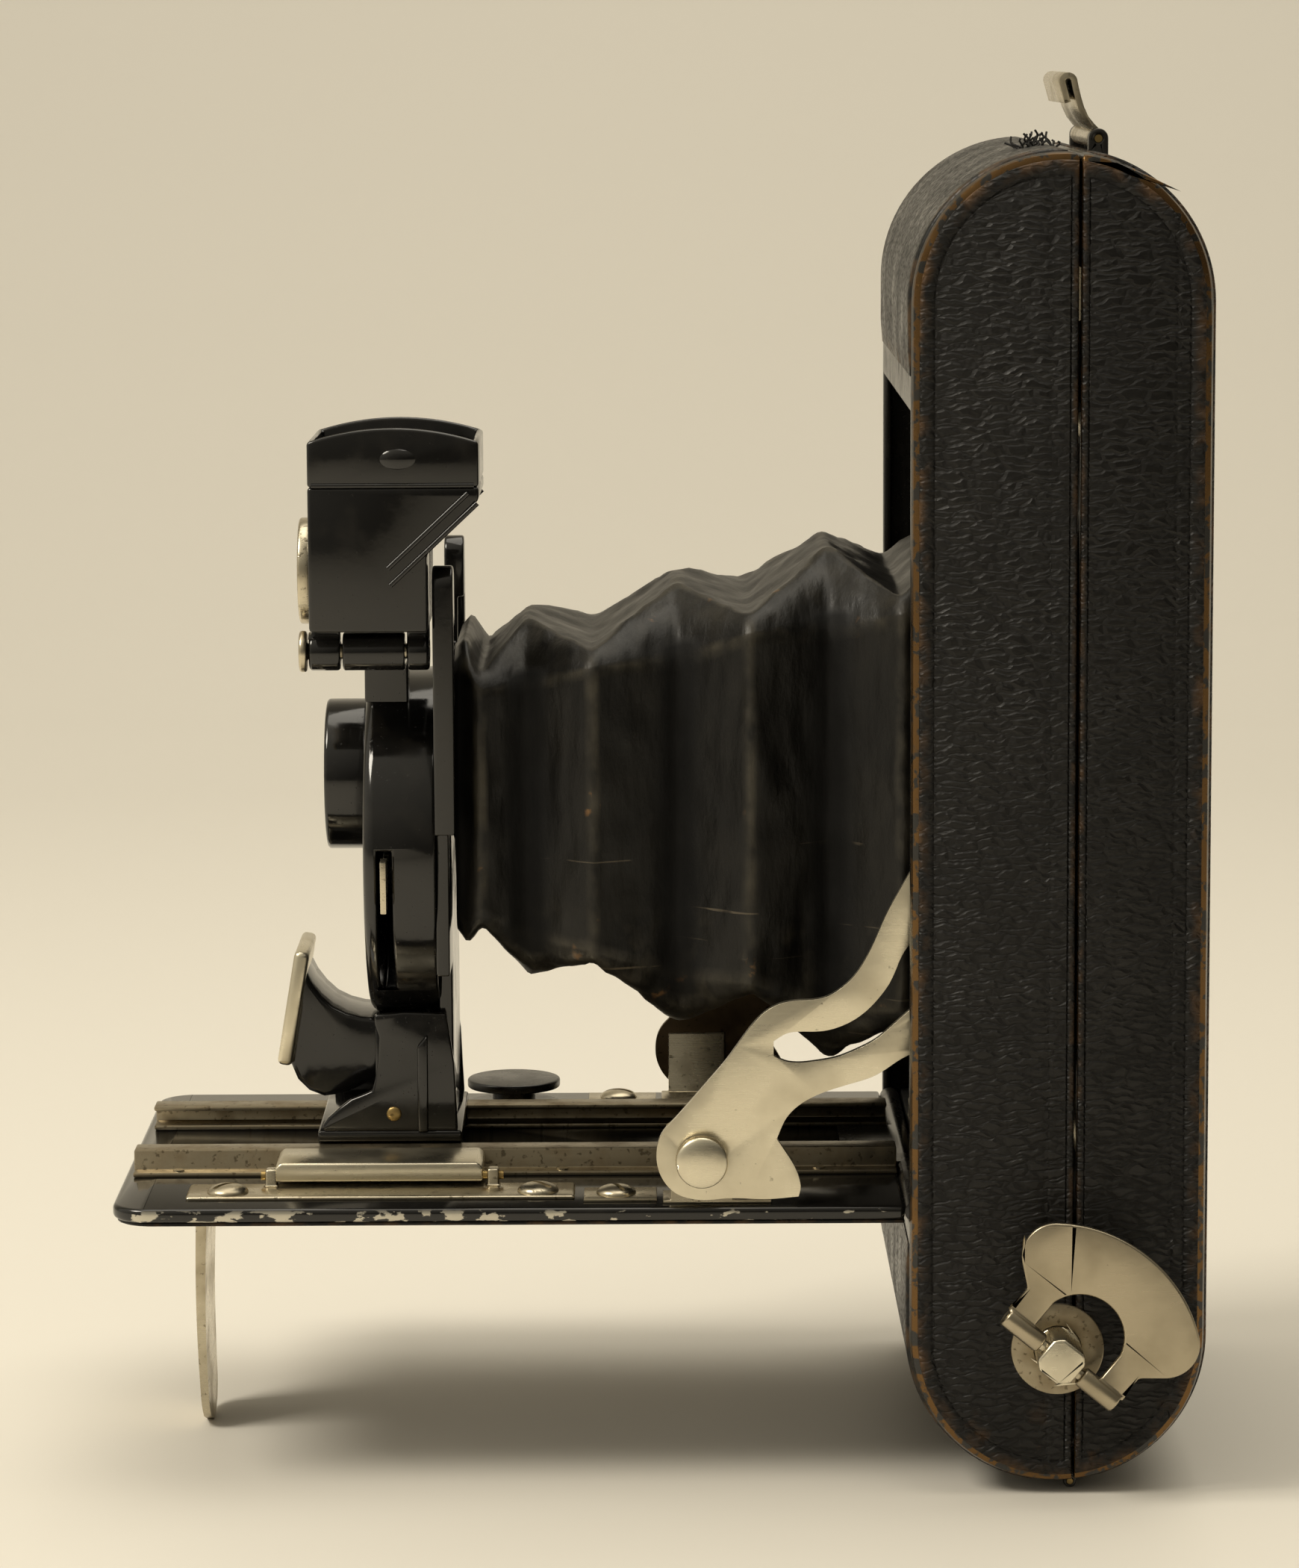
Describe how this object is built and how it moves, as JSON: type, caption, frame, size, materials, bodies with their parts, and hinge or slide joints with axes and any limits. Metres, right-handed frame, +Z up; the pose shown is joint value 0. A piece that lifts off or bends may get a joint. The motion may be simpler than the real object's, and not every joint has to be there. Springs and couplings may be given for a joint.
{
  "type": "folding roll-film camera",
  "caption": "Folding roll-film camera, opened: round-ended case, bed on struts, sliding lens standard with waist-level finder, leather bellows, winding key and hinged back.",
  "frame": {"origin": "mouth of the tripod socket in the bed's underside", "axes": "+Z up along the standing case, +X from the lens to the back, +Y to the right-hand side of someone facing the lens's way"},
  "size_m": [0.1416, 0.0933, 0.1825],
  "materials": {
    "black_leather": "grained black leather, brown where it is rubbed",
    "bellows_leather": "thin black bellows leather, scuffed on the folds",
    "black_enamel": "gloss black enamel, chipped to bare metal on edges",
    "case_metal": "thin aluminium, painted black",
    "nickel": "nickel plate with fine scratches and some tarnish",
    "brass": "brass, dull",
    "blackened_brass": "brass, blackened",
    "steel_plate": "plain steel",
    "dark_wood": "turned wood with tin flanges",
    "lens_glass": "clear ground glass lens",
    "finder_mirror": "silvered mirror",
    "red_glass": "red celluloid window"
  },
  "bodies": {
    "case": {"front_case": "case_metal", "side_leathers": "black_leather", "back_hinge_pin": "brass", "gate_frame": "case_metal", "bed_plate": "black_enamel", "bed_leather": "black_leather", "bed_hinge": "blackened_brass", "bed_rails": "nickel", "case_rails": "nickel", "bed_socket_bush": "brass", "side_socket_bush": "brass", "key_escutcheon": "nickel", "supply_pivot": "nickel", "leg_lugs": "nickel", "left_strut": "nickel", "right_strut": "nickel", "rivets": "brass", "strut_fittings": "nickel", "lock_plate": "nickel", "bed_pins": "brass", "bed_screws": "nickel", "distance_stop": "blackened_brass", "bellows": "bellows_leather"},
    "back_cover": {"back_cover": "case_metal", "cover_leathers": "black_leather", "red_window": "red_glass", "pressure_plate": "steel_plate", "latch_pin": "brass"},
    "back_latch": {"back_latch": "nickel"},
    "winding_key": {"key_shaft": "nickel", "key_cross_pin": "nickel", "takeup_spool": "dark_wood"},
    "key_wing": {"key_wing": "nickel"},
    "supply_spool": {"supply_spool": "dark_wood"},
    "bottom_roller": {"bottom_roller": "nickel"},
    "top_roller": {"top_roller": "nickel"},
    "takeup_pin": {"takeup_pin": "nickel"},
    "supply_pin": {"supply_pin": "nickel"},
    "support_leg": {"support_leg": "nickel"},
    "lock_lever": {"lock_lever": "nickel"},
    "standard": {"carriage": "black_enamel", "standard_plate": "black_enamel", "focus_bracket": "black_enamel", "finger_grip": "nickel", "grip_bracket": "black_enamel", "shutter_housing": "black_enamel", "lens_barrel": "blackened_brass", "front_lens": "lens_glass", "shutter_pivot": "steel_plate", "finder_bracket": "black_enamel", "finder_pin": "nickel"},
    "shutter_lever": {"shutter_lever": "nickel"},
    "shutter_blade": {"shutter_blade": "steel_plate"},
    "stop_plate": {"stop_plate": "blackened_brass"},
    "finder": {"finder_body": "black_enamel", "finder_hood": "black_enamel", "finder_bezel": "nickel", "finder_lens": "lens_glass", "finder_glass": "lens_glass", "finder_mirror": "finder_mirror"}
  },
  "joints": [
    {"name": "front_slide", "type": "slide", "parent": "case", "child": "standard", "axis": [1, 0, 0], "range_m": [0, 0.07], "deforming": ["bellows"]},
    {"name": "finder_tilt", "type": "hinge", "parent": "standard", "child": "finder", "pos_m": [-0.043, -0.02, 0.0727], "axis": [-1, 0, 0], "range_deg": [-90, 0]},
    {"name": "winding_turn", "type": "hinge", "parent": "case", "child": "winding_key", "pos_m": [0.045, -0.041, -0.0157], "axis": [0, -1, 0], "continuous": true},
    {"name": "key_wing_fold", "type": "hinge", "parent": "winding_key", "child": "key_wing", "pos_m": [0.045, -0.0472, -0.0157], "axis": [0.7716, 0, -0.6361], "range_deg": [0, 165]},
    {"name": "back_open", "type": "hinge", "parent": "case", "child": "back_cover", "pos_m": [0.047, 0, -0.03425], "axis": [0, 1, 0], "range_deg": [0, 90]},
    {"name": "latch_turn", "type": "hinge", "parent": "back_cover", "child": "back_latch", "pos_m": [0.0514, 0, 0.1386], "axis": [0, -1, 0], "range_deg": [0, 50]},
    {"name": "leg_fold", "type": "hinge", "parent": "case", "child": "support_leg", "pos_m": [-0.068, 0, -0.0016], "axis": [0, -1, 0], "range_deg": [0, 90]},
    {"name": "lock_press", "type": "hinge", "parent": "case", "child": "lock_lever", "pos_m": [-0.0425, -0.026, 0.0042], "axis": [1, 0, 0], "range_deg": [0, 8], "stiffness_Nm_per_rad": 0.05, "springref_deg": -5.73},
    {"name": "shutter_release", "type": "hinge", "parent": "standard", "child": "shutter_lever", "pos_m": [-0.042, 0, 0.0449], "axis": [1, 0, 0], "range_deg": [0, 34], "stiffness_Nm_per_rad": 0.004, "springref_deg": -8.59},
    {"name": "shutter_blade_turn", "type": "hinge", "parent": "standard", "child": "shutter_blade", "pos_m": [-0.0406, 0, 0.0449], "axis": [1, 0, 0], "range_deg": [0, 115.7]},
    {"name": "stop_set", "type": "hinge", "parent": "standard", "child": "stop_plate", "pos_m": [-0.0391, 0, 0.0449], "axis": [1, 0, 0], "range_deg": [0, 44]},
    {"name": "supply_spin", "type": "hinge", "parent": "case", "child": "supply_spool", "pos_m": [0.045, 0, 0.1197], "axis": [0, 1, 0], "continuous": true},
    {"name": "bottom_roller_spin", "type": "hinge", "parent": "case", "child": "bottom_roller", "pos_m": [0.0512, 0, 0.00635], "axis": [0, 1, 0], "continuous": true},
    {"name": "top_roller_spin", "type": "hinge", "parent": "case", "child": "top_roller", "pos_m": [0.0512, 0, 0.10135], "axis": [0, 1, 0], "continuous": true},
    {"name": "takeup_pin_pull", "type": "slide", "parent": "case", "child": "takeup_pin", "axis": [0, 1, 0], "range_m": [0, 0.004], "stiffness_N_per_m": 300, "springref_m": -0.003},
    {"name": "supply_pin_pull", "type": "slide", "parent": "case", "child": "supply_pin", "axis": [0, 1, 0], "range_m": [0, 0.004], "stiffness_N_per_m": 300, "springref_m": -0.003}
  ],
  "couplings": [
    {"joint": "shutter_blade_turn", "follows": "shutter_release", "ratio": 3.4}
  ]
}
